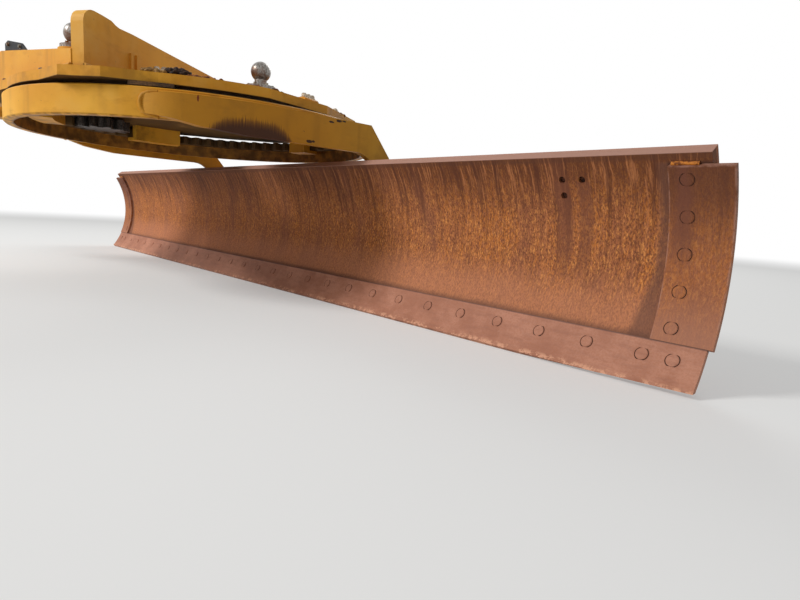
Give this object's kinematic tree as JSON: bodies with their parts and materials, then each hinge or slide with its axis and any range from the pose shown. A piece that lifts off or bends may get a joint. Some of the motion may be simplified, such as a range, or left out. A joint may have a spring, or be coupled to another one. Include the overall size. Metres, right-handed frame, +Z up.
{
  "type": "motor grader drawbar, circle and moldboard",
  "caption": "Blade group of a motor grader: an A-shaped drawbar on a front ball, a toothed turning circle with two arms, a tilting carrier and a long curved moldboard that slides sideways.",
  "frame": {"origin": "centre of the ball on the drawbar's nose", "axes": "-Y towards the front of the machine, +X its left, +Z up along the circle's axis"},
  "size_m": [2.4948, 3.9461, 1.1498],
  "materials": {
    "yellow_paint": "weathered yellow machine paint with grease and dirt",
    "rusty_plate": "orange-brown rust with dark run marks",
    "worn_edge": "smooth pink-brown rust polished by soil",
    "bare_steel": "greasy bare steel",
    "bronze": "dull bronze wear faces",
    "chrome_rod": "polished rod",
    "black_case": "black painted castings"
  },
  "bodies": {
    "drawbar": {"left_beam": "yellow_paint", "right_beam": "yellow_paint", "nose": "yellow_paint", "drawbar_ball": "bare_steel", "beam_tie": "yellow_paint", "yoke_plate": "yellow_paint", "yoke_web": "yellow_paint", "left_lift_stud": "bare_steel", "right_lift_stud": "bare_steel", "shift_stud": "bare_steel", "beam_bracket": "black_case", "circle_shoes": "yellow_paint", "shoe_caps": "yellow_paint", "lower_wear_strips": "bronze", "upper_wear_strips": "bronze", "swing_gearbox": "yellow_paint", "swing_motor": "black_case"},
    "drive_pinion": {"pinion": "bare_steel"},
    "circle": {"circle_ring": "yellow_paint", "left_arm": "yellow_paint", "right_arm": "yellow_paint", "tip_lug": "yellow_paint", "pivot_pins": "bare_steel"},
    "tip_cylinder": {"tip_barrel": "yellow_paint"},
    "tip_cylinder_rod": {"tip_rod": "chrome_rod"},
    "carrier": {"left_bracket": "yellow_paint", "right_bracket": "yellow_paint", "cross_tube": "yellow_paint", "upper_bearings": "bronze", "lower_bearings": "bronze", "shift_barrel": "yellow_paint"},
    "blade": {"moldboard": "rusty_plate", "top_lip": "rusty_plate", "upper_rail": "bare_steel", "lower_rail": "bare_steel", "left_cutting_edge": "worn_edge", "right_cutting_edge": "worn_edge", "left_end_bit": "worn_edge", "right_end_bit": "worn_edge", "shift_anchor": "rusty_plate", "shift_rod": "chrome_rod"}
  },
  "joints": [
    {"name": "circle_swing", "type": "hinge", "parent": "drawbar", "child": "circle", "pos_m": [0, 1.85, -0.19], "axis": [0, 0, 1], "continuous": true},
    {"name": "pinion_spin", "type": "hinge", "parent": "drawbar", "child": "drive_pinion", "pos_m": [0, 1.283, -0.14], "axis": [0, 0, 1], "continuous": true},
    {"name": "blade_tip", "type": "hinge", "parent": "circle", "child": "carrier", "pos_m": [-0.41934, 2.12232, -0.65], "axis": [0.5446, 0.8387, 0], "range_deg": [-5, 40]},
    {"name": "tip_cylinder_swing", "type": "hinge", "parent": "circle", "child": "tip_cylinder", "pos_m": [-0.63739, 2.26393, -0.285], "axis": [0.5446, 0.8387, 0], "range_deg": [-0.6, 4]},
    {"name": "tip_rod_slide", "type": "slide", "parent": "tip_cylinder", "child": "tip_cylinder_rod", "axis": [0.74, -0.4806, -0.4705], "range_m": [-0.018, 0.136]},
    {"name": "side_shift", "type": "slide", "parent": "carrier", "child": "blade", "axis": [0.5446, 0.8387, 0], "range_m": [-0.55, 0.55]}
  ],
  "couplings": [
    {"joint": "pinion_spin", "follows": "circle_swing", "ratio": 6.4},
    {"joint": "tip_cylinder_swing", "follows": "blade_tip", "ratio": 0.09136},
    {"joint": "tip_rod_slide", "follows": "blade_tip", "m_per_rad": 0.1925}
  ]
}
